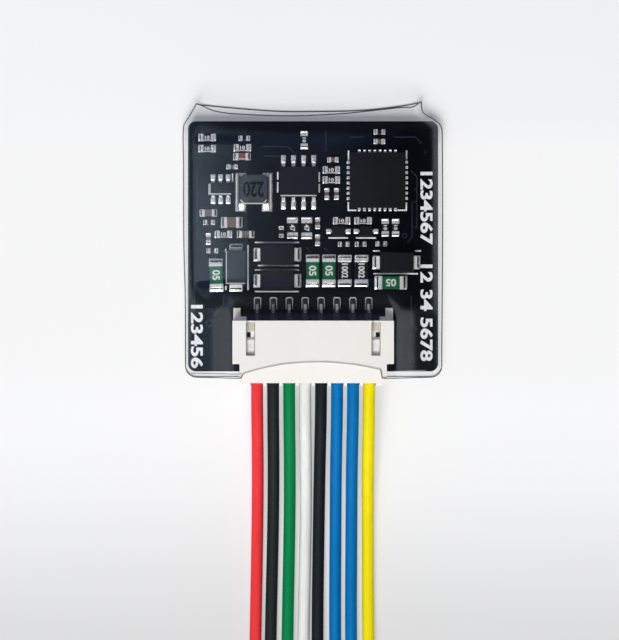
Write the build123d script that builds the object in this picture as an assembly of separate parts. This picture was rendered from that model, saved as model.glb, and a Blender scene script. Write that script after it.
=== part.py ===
from build123d import *
from math import hypot, pi, radians, tan
import os

# A flush-box input module: a square circuit board in a clear shrink sleeve, with a plug of eight leads.
# Millimetres. Places on the board are given from the board's centre, +X right, +Y towards the open mouth of
# the sleeve, +Z up from the surface that the module lies on. export moves the finished pieces along Y by
# y_shift, so that the module without its leads is centred on the origin.

# Board and sleeve film
board_side = 31.6
board_corner = 1.0
board_thick = 1.6
film = 0.25
top = film + board_thick  # height of the board's upper face
land_thick = 0.05
land_top = top + land_thick

# Connector: eight ways at 2 mm, side entry
ways = 8
pitch = 2.0
way_x = [pitch * (i - (ways - 1) / 2) for i in range(ways)]
shell_height = 5.5
shell_back = -9.39
shell_front = -17.1
shell_top = top + shell_height
shell_corner = 0.25
nose_half = 9.1  # half width of the shell's front
ear_half = 9.97  # half width over its ears
ear_front = -14.75
wing_top = top + 2.6
wing_back = -7.81
wing_foot_back = -8.87
wing_foot_half = 8.35
cavity_half = 8.5
cavity_low = top + 0.55
cavity_high = top + 4.95
cavity_back = -10.8
mouth_chamfer = 0.25
slot_inner, slot_outer = 7.27, 8.23  # slots in the shell's top, measured from the middle
slot_front = -13.65
slot_floor = top + 4.6
stop_rib_front = -11.4
underside_relief = 0.2  # the shell stands on feet at its front, back and ends
relief_half = 6.4
relief_y = (-15.6, -11.0)

contact_z = top + 2.75  # height of the contacts and of the leads where they leave the plug
contact_side = 0.5
contact_tip = -14.0
contact_bend = -8.7  # where a contact turns down behind the shell
contact_heel = -8.0
contact_toe = -6.75
contact_corner = 0.4  # how far from each corner its bend begins
contact_point = 0.12
contact_land_half = 0.46
contact_land_end = -6.4

# The two solder tabs that hold the shell's ears down
tab_y = (-13.6, -10.6)
tab_inner = ear_half - 0.55
tab_outer = ear_half - 0.3
tab_thick = tab_outer - tab_inner
tab_top = top + 2.4
tab_foot_end = ear_half - 0.02
tab_land_margin = 0.2

# Plug and its crimp contacts
plug_half = 8.35
plug_low = top + 0.65
plug_high = top + 4.85
plug_front = -11.45
plug_back = -17.45
plug_chamfer = 0.3
wire_hole_half = 0.85
wire_hole_rise = 1.0
pin_entry_half = 0.4
open_top_half = 0.8  # each wire hole is open at the top where the lead comes out
open_top_length = 0.8
window_half = 0.5  # window for the contact's lance, in the underside
window_y = (-14.0, -13.0)
key_reach = 0.15  # ribs on the plug's ends, in grooves of the shell
key_half = 0.5
key_play = 0.1
bump_y = -12.7  # small ribs on top, which click into the shell's slots
bump_width = 0.7
bump_side = [(-0.5, 0), (0.5, 0), (0.15, 0.08)]
crimp_front = -12.05
crimp_neck = -14.4
crimp_back = -15.3
crimp_half = 0.62
crimp_rise = 0.7
crimp_bore_half = 0.36
crimp_bore_back = -14.2
barrel_radius = 0.58
barrel_sides = 6
lance_y = -13.2
lance_width = 0.6
lance_side = [(-0.8, 0), (0.5, 0), (-0.8, 0.22)]

# Leads
wire_radius = 0.75
lead_sides = 8
strand_radius = 0.3
strand_sides = 6
strip_length = 5.0

# Sleeve
film_half = 16.4
film_crown_parts = 4.75  # height of the film over the parts
film_crown_shell = shell_top + 0.05 + film
film_drop_at_mouth = 1.35
film_side = 2.45  # height of its low sides
film_side_drop_at_mouth = 0.6
film_shoulder_parts = 12.9  # half width of its flat crown
film_shoulder_shell = 10.6
# Each slope has a knee: how far out it is, and how high, as shares of the slope's reach and rise. The film
# swells a little over the parts, and falls steeply beside the shell before it runs out over the board.
film_knee_parts = (0.54, 0.63)
film_knee_shell = (0.41, 0.18)
film_bend = 0.9
# The hollow's corners, as shares of the film's thickness, so that the slopes are as thick as the crown
side_inset_share = 0.45
shoulder_inset_share = 0.5
bend_inset_share = 0.5
film_rises_at = (4.4, 9.0)  # from the parts up to the connector, measured towards the plug
film_drops_at = (13.0, 18.0)  # and down again towards its mouth
film_front = -16.5
film_corner = 1.3
film_straight_at = [-4.4, -5.3, -6.8, -9.0, film_front]
# The film's outline in plan, from the horns to the straight sides: y, left edge, right edge
film_mouth_at = [
    (18.6, -14.5, 13.7), (17.5, -15.1, 13.85), (16.3, -15.8, 15.2), (15.5, -16.3, 16.1),
    (14.6, -film_half, film_half),
]
horn_left = (-14.77, 18.07)
horn_right = (13.74, 18.36)
lower_mouth = [horn_left, (-8.44, 17.37), (0.24, 17.09), (8.65, 17.31), horn_right]
upper_mouth = [horn_left, (-12.4, 17.14), (-3.9, 16.5), (5.25, 16.85), horn_right]
sheets_meet = 1.2  # height where the lower sheet of the film meets the upper one
bow_over_shell = [(-8.6, -15.85), (0.3, -14.38), (8.4, -15.35)]
cut_reach = 20.0  # cutters reach this far past the film

y_shift = -(plug_back + horn_right[1]) / 2


def block(x, y, z):
    """A box from its lowest and highest place along each axis."""
    sizes = [high - low for low, high in (x, y, z)]
    middle = [(high + low) / 2 for low, high in (x, y, z)]
    return Pos(*middle) * Box(*sizes)


def around(middle, half):
    """The lowest and highest place of a stretch about its middle."""
    return (middle - half, middle + half)


def on_side(side, inner, outer):
    """The stretch between two distances from the middle, on the left (-1) or right (1) side."""
    return sorted([side * inner, side * outer])


def prism_along_y(points, width):
    """A side profile of (x, z) points, as wide as width across Y."""
    face = Plane.XZ * make_face(Polyline(*points, close=True))
    return extrude(face, amount=width / 2, both=True)


def towards(start, end, distance):
    """The point at a distance from start, on the way to end."""
    share = distance / hypot(end[0] - start[0], end[1] - start[1])
    return (start[0] + share * (end[0] - start[0]), start[1] + share * (end[1] - start[1]))


def bent_strip(points, bend, width, thick):
    """A strip bent from flat metal, along (x, z) points. Each bend is two equal turns."""
    line = [points[0]]
    for before, corner, after in zip(points, points[1:], points[2:]):
        line += [towards(corner, before, bend), towards(corner, after, bend)]
    line.append(points[-1])
    path = Polyline(*[(x, 0, z) for x, z in line])
    section = Plane(origin=path @ 0, x_dir=(0, 1, 0), z_dir=path % 0) * Rectangle(width, thick)
    return sweep(section, path=path, transition=Transition.RIGHT)


def moulded_body(length, width, height, stand, taper=8):
    """A moulded package: drafted up and down from its parting line, standing off the board."""
    part_line = land_top + stand + height / 2
    face = Pos(0, 0, part_line) * Rectangle(length, width)
    upper = extrude(face, amount=height / 2, taper=taper)
    lower = extrude(face, amount=-height / 2, taper=taper)
    return upper + lower


def placed(shape, x, y, turn=0):
    """A shape built about its own centre, turned and moved to its place on the board."""
    return Pos(x, y, 0) * Rot(0, 0, turn) * shape


def land(x, y):
    """A bare soldered land on the board."""
    return block(x, y, (top, land_top))


def edges_as_long_as(edges, length):
    return edges.filter_by(lambda e: abs(e.length - length) < 0.01)


# Board

def make_board():
    outline = RectangleRounded(board_side, board_side, board_corner)
    return Pos(0, 0, film) * extrude(outline, amount=board_thick)


# Connector

def make_shell():
    """The ivory shell: nose, ears, low wings behind, a hollow for the plug and two slots in its top."""
    foot = land_top
    shell = block((-nose_half, nose_half), (shell_front, shell_back), (foot, shell_top))
    shell += block((-ear_half, ear_half), (ear_front, shell_back), (foot, shell_top))
    shell -= block((-cavity_half, cavity_half), (shell_front, cavity_back), (cavity_low, cavity_high))
    mouth_edges = shell.edges().filter_by(Axis.X).group_by(Axis.Y)[0]
    shell = chamfer(edges_as_long_as(mouth_edges, 2 * cavity_half), mouth_chamfer)
    for side in (-1, 1):
        # The wings behind the ears, with a wider foot
        wing = on_side(side, nose_half, ear_half)
        wing_foot = on_side(side, wing_foot_half, ear_half)
        shell += block(wing, (shell_back, wing_back), (foot, wing_top))
        shell += block(wing_foot, (shell_back, wing_foot_back), (foot, wing_top))
        # A slot in the top, over a half-width rib that stops the plug
        slot = on_side(side, slot_inner, slot_outer)
        shell -= block(slot, (slot_front, shell_back), (slot_floor, shell_top))
        rib = on_side(side, slot_inner, (slot_inner + slot_outer) / 2)
        shell += block(rib, (stop_rib_front, cavity_back), (cavity_low, slot_floor))
        # The groove for the plug's end rib
        groove = on_side(side, cavity_half, cavity_half + key_reach + key_play)
        shell -= block(groove, (shell_front, cavity_back), around(contact_z, key_half + key_play))
        # The solder tab's slit, and room for its foot
        shell -= block(on_side(side, tab_inner, tab_outer), tab_y, (foot, tab_top))
        shell -= block(on_side(side, tab_inner, ear_half), tab_y, (foot, foot + tab_thick))
    shell -= block((-relief_half, relief_half), relief_y, (foot, foot + underside_relief))
    corners = shell.edges().filter_by(Axis.Z).group_by(Axis.Y)[0]
    return fillet(corners.filter_by(lambda e: abs(abs(e.center().X) - nose_half) < 0.01), shell_corner)


def make_contacts():
    """Each is a straight pin through the shell, a drop behind it, and a foot on its land."""
    foot_z = land_top + contact_side / 2
    line = [(contact_tip, contact_z), (contact_bend, contact_z),
            (contact_heel, foot_z), (contact_toe, foot_z)]
    strip = bent_strip(line, contact_corner, contact_side, contact_side)
    strip = chamfer(strip.edges().group_by(Axis.X)[0], contact_point)
    return [Pos(x, 0, 0) * Rot(0, 0, 90) * strip for x in way_x]


def make_solder_tabs():
    """An upright blade in each ear, bent outwards into a foot under the ear."""
    tabs = []
    for side in (-1, 1):
        tab = block(on_side(side, tab_inner, tab_outer), tab_y, (land_top, tab_top))
        tab += block(on_side(side, tab_inner, tab_foot_end), tab_y, (land_top, land_top + tab_thick))
        tabs.append(tab)
    return tabs


def make_connector_lands():
    lands = [land(around(x, contact_land_half), (shell_back, contact_land_end)) for x in way_x]
    tab_land_y = (tab_y[0] - tab_land_margin, tab_y[1] + tab_land_margin)
    for side in (-1, 1):
        lands.append(land(on_side(side, tab_inner - tab_land_margin, tab_foot_end), tab_land_y))
    return lands


def make_plug():
    plug = block((-plug_half, plug_half), (plug_back, plug_front), (plug_low, plug_high))
    reach = cavity_half + key_reach
    plug += block((-reach, reach), (plug_back, plug_front), around(contact_z, key_half))
    front_edges = plug.edges().filter_by(Axis.X).group_by(Axis.Y)[-1]
    plug = chamfer(edges_as_long_as(front_edges, 2 * plug_half), plug_chamfer)
    for x in way_x:
        plug -= block(around(x, wire_hole_half), (plug_back, crimp_front), around(contact_z, wire_hole_rise))
        plug -= block(around(x, pin_entry_half), (crimp_front, plug_front), around(contact_z, pin_entry_half))
        open_top_y = (plug_back, plug_back + open_top_length)
        plug -= block(around(x, open_top_half), open_top_y, (contact_z, plug_high))
        plug -= block(around(x, window_half), window_y, (plug_low, contact_z - wire_hole_rise))
    for side in (-1, 1):
        x = side * (slot_inner + slot_outer) / 2
        plug += Pos(x, bump_y, plug_high) * Rot(0, 0, -90) * prism_along_y(bump_side, bump_width)
    return plug


def make_crimps():
    """A box that slides on the header's pin, and a barrel closed on the lead's strands."""
    box = block((-crimp_half, crimp_half), (crimp_neck, crimp_front), around(contact_z, crimp_rise))
    bore = around(contact_z, crimp_bore_half)
    box -= block((-crimp_bore_half, crimp_bore_half), (crimp_bore_back, crimp_front), bore)
    lance = prism_along_y(lance_side, lance_width)
    box += Pos(0, lance_y, contact_z - crimp_rise) * Rot(0, 0, -90) * Rot(180, 0, 0) * lance
    barrel = RegularPolygon(barrel_radius, barrel_sides, rotation=180 / barrel_sides)
    neck = Plane(origin=(0, crimp_neck, contact_z), x_dir=(1, 0, 0), z_dir=(0, -1, 0)) * barrel
    crimp = box + extrude(neck, amount=crimp_neck - crimp_back)
    return [Pos(x, 0, 0) * crimp for x in way_x]


# Leads. Each starts at its crimp, runs straight out of the plug, comes down to the surface and lies on it.
# The stations are (y, z) of the route's points, and each lead has its own x at every station.
lead_stations = [
    (-15.3, 4.6), (-20.3, 4.6), (-27.3, 2.3), (-35.3, 0.76), (-51.5, 0.76), (-83.0, 0.76), (-114.5, 0.76),
]
lead_x = {
    "lead_red": [-7.0, -7.0, -6.96, -7.04, -7.34, -7.96, -8.76],
    "lead_black_left": [-5.0, -5.0, -4.97, -5.05, -5.44, -5.86, -6.32],
    "lead_green": [-3.0, -3.0, -2.93, -2.97, -3.3, -3.58, -3.78],
    "lead_white": [-1.0, -1.0, -0.92, -0.91, -1.28, -1.4, -1.24],
    "lead_black_right": [1.0, 1.0, 0.84, 0.72, 0.5, 0.84, 1.46],
    "lead_blue_left": [3.0, 3.0, 2.88, 2.84, 2.76, 3.2, 4.06],
    "lead_blue_right": [5.0, 5.0, 4.88, 4.86, 4.76, 5.4, 6.5],
    "lead_yellow": [7.0, 7.0, 6.9, 6.93, 6.98, 7.8, 9.02],
}


def lead_route(name):
    return [Vector(x, y, z) for x, (y, z) in zip(lead_x[name], lead_stations)]


def make_lead(name):
    """A lead: straight runs joined by arcs, each as large as its two runs allow. The tube has flat sides."""
    route = lead_route(name)
    runs = [b - a for a, b in zip(route, route[1:])]
    bends = []
    for before, after in zip(runs, runs[1:]):
        turn = radians(before.get_angle(after))
        bends.append(0.45 * min(before.length, after.length) / tan(turn / 2))
    path = FilletPolyline(*route, radius=bends)
    end = Plane(origin=path @ 0, x_dir=(1, 0, 0), z_dir=path % 0)
    outline = RegularPolygon(wire_radius, lead_sides, major_radius=False, rotation=180 / lead_sides)
    tube = sweep(end * outline, path=path)
    section = lead_sides * wire_radius ** 2 * tan(pi / lead_sides)
    print(name, "length", round(path.length, 2), "radii", [round(b, 1) for b in bends],
          "volume share", round(tube.volume / (section * path.length), 4))
    return tube


def make_lead_tips():
    tips = []
    for name in lead_x:
        before, end = lead_route(name)[-2:]
        strand = Plane(origin=end, z_dir=end - before) * RegularPolygon(strand_radius, strand_sides)
        tips.append(extrude(strand, amount=strip_length))
    return tips


# Packages and parts on the board. Each is built along X about its own centre, then placed. Each maker gives
# its moulded body, its metal and its lands.

def gull_lead(start, start_z, reach, width, thick, bend):
    """A lead that leaves a package's side at start and lands flat, reach from the package's centre."""
    foot_z = land_top + thick / 2
    knee = start + (reach - start) * 0.32
    heel = start + (reach - start) * 0.46
    line = [(start, start_z), (knee, start_z), (heel, foot_z), (reach, foot_z)]
    return bent_strip(line, bend, width, thick)


def row_places(count, step):
    return [step * (i - (count - 1) / 2) for i in range(count)]


def package_leads(lead, land_x, land_half, count, step, x, y, turns):
    """The same lead and land, in a row on each side that turns names."""
    leads = []
    lands = []
    for turn in turns:
        for along in row_places(count, step):
            leads.append(placed(Pos(0, along, 0) * lead, x, y, turn))
            lands.append(placed(land(land_x, around(along, land_half)), x, y, turn))
    return leads, lands


def make_transceiver():
    x, y = -1.83, 8.06
    body = moulded_body(4.9, 3.9, 1.45, 0.1)
    pin_mark = Pos(2.0, 1.3, land_top + 1.5) * Cylinder(0.28, 0.12)
    lead = gull_lead(1.95, land_top + 0.82, 3.0, 0.42, 0.2, 0.12)
    leads, lands = package_leads(lead, (2.35, 3.4), 0.3, 4, 1.27, x, y, (90, 270))
    return placed(body - pin_mark, x, y), leads, lands


def make_regulator():
    x, y = -11.65, 7.2
    body = moulded_body(2.9, 1.6, 1.1, 0.05)
    lead = gull_lead(0.8, land_top + 0.6, 1.42, 0.4, 0.15, 0.08)
    leads, lands = package_leads(lead, (1.05, 1.85), 0.29, 3, 0.95, x, y, (90, 270))
    return placed(body, x, y), leads, lands


def make_controller():
    """A flat square package. Its edge contacts stand under the rim, level with the rim's outer face."""
    x, y = 8.1, 8.3
    half = 3.5
    base_half = 3.0
    rim_low = land_top + 0.2
    roof = land_top + 0.9
    body = block((-half, half), (-half, half), (rim_low, roof))
    body += block((-base_half, base_half), (-base_half, base_half), (land_top + 0.02, rim_low))
    body = chamfer(body.edges().group_by(Axis.Z)[-1], 0.06)
    pin_mark = Pos(-2.7, 2.7, roof) * Cylinder(0.3, 0.1)
    contact = block((half - 0.4, half + 0.02), (-0.15, 0.15), (land_top, rim_low))
    land_x = (half - 0.3, half + 0.35)
    contacts, lands = package_leads(contact, land_x, 0.17, 8, 0.65, x, y, (0, 90, 180, 270))
    return placed(body - pin_mark, x, y), contacts, lands


def make_inductor():
    """A shielded coil: a square core with clipped corners, held between two metal side clips on feet."""
    x, y = -7.46, 6.81
    half = 2.28  # of the whole part, over its clips
    clip_inner, clip_reach, clip_top = 1.84, 2.3, land_top + 1.35
    foot_inner, foot_top = 1.1, land_top + 0.3
    core_half, core_y, core_top = 1.78, (-1.61, 2.13), land_top + 1.9
    core = block(around(0, core_half), core_y, (foot_top, core_top))
    core = chamfer(core.edges().filter_by(Axis.Z), 0.5)
    core = chamfer(core.edges().group_by(Axis.Z)[-1], 0.12)
    seat = (-1.4, 1.9)
    core += block(around(0, clip_inner), seat, (foot_top, clip_top - 0.2))
    clips = []
    lands = []
    for side in (-1, 1):
        clip = block(on_side(side, clip_inner, half), around(0, clip_reach), (land_top, clip_top))
        clip = chamfer(clip.edges().group_by(Axis.Z)[-1], 0.08)
        clip += block(on_side(side, foot_inner, half), around(0, clip_reach), (land_top, foot_top))
        clips.append(placed(clip, x, y))
        lands.append(placed(land(on_side(side, 1.0, 2.36), around(0, 2.4)), x, y))
    return placed(core, x, y), clips, lands


power_diodes = [(-9.7, -2.7, 90), (-4.5, -1.05, 0), (-4.5, -4.36, 0), (10.5, -2.05, 0)]


def make_power_diode(x, y, turn):
    """A moulded block whose two tabs leave its ends, go down them and fold back under it."""
    body = placed(moulded_body(4.3, 2.6, 1.95, 0.25, taper=5), x, y, turn)
    level = land_top + 1.2
    foot = land_top + 0.1
    tab = bent_strip([(2.15, level), (2.48, level), (2.48, foot), (1.3, foot)], 0.12, 1.5, 0.2)
    tabs, lands = package_leads(tab, (1.25, 3.0), 0.85, 1, 0, x, y, (turn, turn + 180))
    return body, tabs, lands


signal_diodes = [(3.2, 1.87, 0), (6.67, 1.87, 180)]


def make_signal_diode(x, y, turn):
    body = placed(moulded_body(1.7, 1.25, 0.85, 0.05), x, y, turn)
    lead = gull_lead(0.85, land_top + 0.47, 1.3, 0.3, 0.12, 0.06)
    leads, lands = package_leads(lead, (0.95, 1.55), 0.3, 1, 0, x, y, (turn, turn + 180))
    return body, leads, lands


# Chip sizes: length, width, height, length of each metal end, reach of the land past the end
chip_sizes = {
    "resistor_0402": (1.0, 0.5, 0.35, 0.22, 0.22),
    "resistor_0603": (1.6, 0.8, 0.45, 0.3, 0.3),
    "resistor_0805": (2.0, 1.25, 0.5, 0.38, 0.35),
    "resistor_1206": (3.2, 1.6, 0.55, 0.48, 0.4),
    "capacitor_0402": (1.0, 0.5, 0.5, 0.25, 0.22),
    "capacitor_0603": (1.6, 0.8, 0.8, 0.36, 0.3),
    "capacitor_0805": (2.0, 1.25, 1.0, 0.45, 0.35),
    "fuse_1206": (3.2, 1.6, 0.8, 0.5, 0.45),
}


def make_chip(size, x, y, turn=0):
    """A ceramic body between two metal ends, on two lands with solder climbing the ends."""
    length, width, height, end, reach = chip_sizes[size]
    half = length / 2
    inner = half - end
    proud = 0.02  # the metal ends stand out this much from the body
    roof = land_top + height
    body = block((-inner, inner), around(0, width / 2), (land_top + proud, roof - proud))
    soft = 0.12 * height
    cap = prism_along_y(
        [(inner, land_top), (half, land_top), (half, roof - soft), (half - soft, roof), (inner, roof)],
        width + 2 * proud)
    under = inner - 0.03
    solder = prism_along_y(
        [(under, top), (half + reach, top), (half + 0.3 * reach, land_top + 0.15 * height),
         (half, land_top + 0.6 * height), (half, land_top), (under, land_top)],
        width + 0.1)
    caps = [placed(cap, x, y, turn + flip) for flip in (0, 180)]
    lands = [placed(solder, x, y, turn + flip) for flip in (0, 180)]
    return placed(body, x, y, turn), caps, lands


chip_places = {
    "resistor_0402": [(-8.67, 13.6, 0), (8.37, 14.4, 0), (3.86, 0.25, 0), (6.0, 0.25, 0), (8.6, 0.3, 0),
                      (-4.0, 1.8, 90), (-13.1, 3.0, 0), (-12.7, -0.57, 0)],
    "resistor_0603": [(-13.35, 13.7, 0), (-13.35, 12.3, 0), (-8.9, 12.4, 0), (-1.12, 13.4, 90), (2.3, 9.6, 0),
                      (2.3, 8.36, 0), (3.6, 3.2, 0), (6.3, 3.2, 0), (9.1, 2.35, 90), (10.4, 2.35, 90),
                      (-11.3, 1.5, 0)],
    "resistor_0805": [(-2.6, 2.3, 90), (-0.8, 2.3, 90)],
    "resistor_1206": [(4.0, -3.1, 90), (6.1, -3.1, 90)],
    "capacitor_0402": [(2.5, 10.9, 0), (1.74, 6.6, 90), (2.95, 6.6, 90), (8.37, 13.2, 0), (0.57, 2.9, 90),
                       (0.57, 0.76, 90), (-10.2, 10.0, 0), (-13.2, 0.93, 90)],
    "capacitor_0603": [(-13.2, 4.2, 0), (-8.5, 1.5, 0)],
    "capacitor_0805": [(-10.25, 3.0, 0)],
    "fuse_1206": [(-12.2, -3.65, 92), (-0.06, -3.1, 90), (2.0, -3.1, 90), (9.8, -4.6, 0)],
}
bead_place = (-8.95, 11.3, 0)


# Sleeve

def blend(value, low, high):
    """0 below low, 1 above high, and a smooth rise between them."""
    share = min(max((value - low) / (high - low), 0), 1)
    return share * share * (3 - 2 * share)


def film_section(y, left, right, inset):
    """The tube's outline at y: flat below, low creased sides, and slopes with a knee up to a flat crown."""
    over_shell = blend(-y, *film_rises_at)
    near_mouth = blend(y, *film_drops_at)
    crown = film_crown_parts + (film_crown_shell - film_crown_parts) * over_shell
    crown -= film_drop_at_mouth * near_mouth
    shoulder = film_shoulder_parts + (film_shoulder_shell - film_shoulder_parts) * over_shell
    shoulder -= shoulder_inset_share * inset
    side = film_side - film_side_drop_at_mouth * near_mouth - side_inset_share * inset
    left += inset
    right -= inset
    crown -= inset
    knee_out, knee_up = (a + (b - a) * over_shell for a, b in zip(film_knee_parts, film_knee_shell))
    knee = side + knee_up * (crown - side)
    knee_right = shoulder + knee_out * (right - shoulder)
    knee_left = -shoulder + knee_out * (left + shoulder)
    points = [(left, y, inset), (right, y, inset), (right, y, side), (knee_right, y, knee),
              (shoulder, y, crown), (-shoulder, y, crown), (knee_left, y, knee), (left, y, side)]
    bend = film_bend - bend_inset_share * inset
    return FilletPolyline(*points, radius=[0, 0, 0, 0, bend, bend, 0, 0], close=True)


def film_tube(places, inset):
    """A ruled loft through the tube's outlines at places of (y, left edge, right edge)."""
    return Solid.make_loft([film_section(y, left, right, inset) for y, left, right in places], ruled=True)


def upright(outline, low, high):
    """A prism between two heights, on an outline of edges in plan."""
    return Pos(0, 0, low) * extrude(make_face(outline), amount=high - low)


def mouth_cutter(line, low, high):
    """What lies past the mouth line of one sheet of the film."""
    left_tip, right_tip = line[0], line[-1]
    beyond = right_tip[1] + cut_reach
    frame = Polyline(right_tip, (cut_reach, right_tip[1]), (cut_reach, beyond), (-cut_reach, beyond),
                     (-cut_reach, left_tip[1]), left_tip)
    return upright(Spline(*line) + frame, low, high)


def make_sleeve():
    """The shrunk film: a hollow loft, its mouth drawn back between two horns, its end cut over the shell."""
    outside = film_mouth_at + [(y, -film_half, film_half) for y in film_straight_at]
    # The hollow runs on past both ends of the tube
    inside = [(film_mouth_at[0][0] + 2, *film_mouth_at[0][1:])] + outside[:-1]
    inside.append((film_front - 2, -film_half, film_half))
    tube = film_tube(outside, 0) - film_tube(inside, film)
    over_all = shell_top + 5
    tube -= mouth_cutter(lower_mouth, -1, sheets_meet)
    tube -= mouth_cutter(upper_mouth, sheets_meet, over_all)
    # The end over the shell rides back in a bow
    left_end, right_end = bow_over_shell[0], bow_over_shell[-1]
    step = Polyline(right_end, (right_end[0], film_front - 1), (left_end[0], film_front - 1), left_end)
    tube -= upright(ThreePointArc(*bow_over_shell) + step, shell_top - 0.5, over_all)
    # Both sheets have rounded corners at this end
    length = 60
    plan = Pos(0, film_front + length / 2) * RectangleRounded(2 * film_half, length, film_corner)
    return tube & (Pos(0, 0, -1) * extrude(plan, amount=over_all + 1))


def export(name, shapes):
    solids = [solid for shape in shapes for solid in shape.solids()]
    whole = Compound(solids).moved(Location((0, y_shift, 0)))
    export_step(whole, f"parts/{name}.step")


def export_connector():
    contacts = make_contacts()
    shell = make_shell()
    for contact in contacts:
        shell -= contact
    export("header_shell", [shell])
    export("header_contacts", contacts)
    export("header_solder_tabs", make_solder_tabs())
    export("plug_housing", [make_plug()])
    export("crimp_contacts", make_crimps())
    for name in lead_x:
        export(name, [make_lead(name)])
    export("lead_tips", make_lead_tips())
    return make_connector_lands()


def export_packages():
    lands = []
    for name, make in (("transceiver", make_transceiver), ("regulator", make_regulator),
                       ("controller", make_controller), ("inductor", make_inductor)):
        body, metal, own_lands = make()
        lands += own_lands
        export(f"{name}_body", [body])
        export(f"{name}_leads", metal)
    tabs = []
    for number, place in enumerate(power_diodes, 1):
        body, own_tabs, own_lands = make_power_diode(*place)
        export(f"power_diode_{number}", [body])
        tabs += own_tabs
        lands += own_lands
    export("power_diode_tabs", tabs)
    bodies, leads = [], []
    for place in signal_diodes:
        body, own_leads, own_lands = make_signal_diode(*place)
        bodies.append(body)
        leads += own_leads
        lands += own_lands
    export("signal_diodes", bodies)
    export("signal_diode_leads", leads)
    return lands


def export_chips():
    lands = []
    for size, places in chip_places.items():
        bodies, ends = [], []
        for place in places:
            body, own_ends, own_lands = make_chip(size, *place)
            bodies.append(body)
            ends += own_ends
            lands += own_lands
        if size == "fuse_1206":
            for number, body in enumerate(bodies, 1):
                export(f"resettable_fuse_{number}", [body])
        else:
            export(f"{size}_bodies", bodies)
        export(f"{size}_ends", ends)
    body, ends, own_lands = make_chip("capacitor_0603", *bead_place)
    export("bead_body", [body])
    export("bead_ends", ends)
    return lands + own_lands


def build_all():
    os.makedirs("parts", exist_ok=True)
    lands = export_connector() + export_packages() + export_chips()
    export("solder_lands", lands)
    export("circuit_board", [make_board()])
    export("clear_sleeve", [make_sleeve()])


build_all()
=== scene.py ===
from math import cos, hypot, pi, radians, sin, sqrt

import bmesh
import bpy
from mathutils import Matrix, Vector, noise


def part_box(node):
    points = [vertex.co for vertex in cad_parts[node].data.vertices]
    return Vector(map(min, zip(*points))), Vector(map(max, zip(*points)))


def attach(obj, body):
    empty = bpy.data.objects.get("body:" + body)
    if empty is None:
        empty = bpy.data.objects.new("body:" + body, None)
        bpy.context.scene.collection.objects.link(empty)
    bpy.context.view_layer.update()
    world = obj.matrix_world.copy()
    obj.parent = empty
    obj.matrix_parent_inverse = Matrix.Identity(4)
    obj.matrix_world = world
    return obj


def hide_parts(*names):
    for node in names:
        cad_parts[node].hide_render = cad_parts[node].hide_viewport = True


# A flush-box input module, dressed round its solids. Lengths are millimetres where no comment says metres.
# Places on the board are given from the board's centre, +X right, +Y to the sleeve's open mouth, +Z up.

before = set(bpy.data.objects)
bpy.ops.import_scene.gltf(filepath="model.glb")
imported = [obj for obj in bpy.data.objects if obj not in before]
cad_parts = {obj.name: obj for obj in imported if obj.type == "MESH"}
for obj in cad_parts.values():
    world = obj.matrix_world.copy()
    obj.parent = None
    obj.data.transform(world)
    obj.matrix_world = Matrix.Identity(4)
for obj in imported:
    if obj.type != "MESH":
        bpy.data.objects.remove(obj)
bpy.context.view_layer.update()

MM = 0.001
board_low, board_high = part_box("circuit_board")
board_middle_y = (board_low.y + board_high.y) / 2
top = board_high.z / MM
shell_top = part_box("header_shell")[1].z / MM
land_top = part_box("solder_lands")[1].z / MM


def spot(x, y, z):
    """A place on the board in millimetres, as a point of the frame in metres."""
    return Vector((x * MM, y * MM + board_middle_y, z * MM))


def blend(value, low, high):
    """0 below low, 1 above high, and a smooth rise between them."""
    share = min(max((value - low) / (high - low), 0), 1)
    return share * share * (3 - 2 * share)


def mix(a, b, share):
    return a + (b - a) * share


def by_name(table):
    """A table of values with their names, turned into a table of names with their values."""
    return {name: value for value, names in table.items() for name in names.split()}


def new_thing(name, data):
    thing = bpy.data.objects.new(name, data)
    bpy.context.scene.collection.objects.link(thing)
    return thing


# Camera: straight down, far enough off that the tall connector is drawn 2 % larger than the board

photo_height = 640  # pixels
photo_scale = 7.92  # pixels of the photograph to a millimetre, at the board's upper face
camera_height = 250
camera_x, camera_y = -0.4545, -9.306


def make_camera():
    data = bpy.data.cameras.new("camera")
    data.lens = data.sensor_width * camera_height * photo_scale / photo_height
    data.clip_start, data.clip_end = 0.01, 10  # metres
    camera = new_thing("camera", data)
    camera.location = spot(camera_x, camera_y, top + camera_height)
    bpy.context.scene.camera = camera


make_camera()


# Materials

def set_node(made, *inputs, **values):
    """Sets a node's inputs, in order or by name, and its options. A value that is an output is linked."""
    for key, value in (*values.items(), *enumerate(inputs)):
        if isinstance(key, str) and key not in made.inputs:
            setattr(made, key, value)
            continue
        socket = made.inputs[key]
        if isinstance(value, bpy.types.NodeSocket):
            made.id_data.links.new(value, socket)
        else:
            socket.default_value = (*value, 1) if socket.type == "RGBA" else value
    return made


def node_maker(tree):
    def node(kind, *inputs, **values):
        return set_node(tree.nodes.new(kind), *inputs, **values)

    return node


def node_material(name):
    """A new material, the function that adds its nodes, its shader and its output."""
    material = bpy.data.materials.new(name)
    material.use_nodes = True
    tree = material.node_tree
    return material, node_maker(tree), tree.nodes["Principled BSDF"], tree.nodes["Material Output"]


def place_noise(node, size, detail=3, drawn=None):
    """Noise in the object's own place. size is the width of its lumps, and drawn squeezes the place."""
    place = node("ShaderNodeTexCoord").outputs["Object"]
    if drawn:
        place = node("ShaderNodeMapping", Vector=place, Scale=drawn).outputs["Vector"]
    return node("ShaderNodeTexNoise", Vector=place, Scale=1 / (size * MM), Detail=detail).outputs["Fac"]


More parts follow.
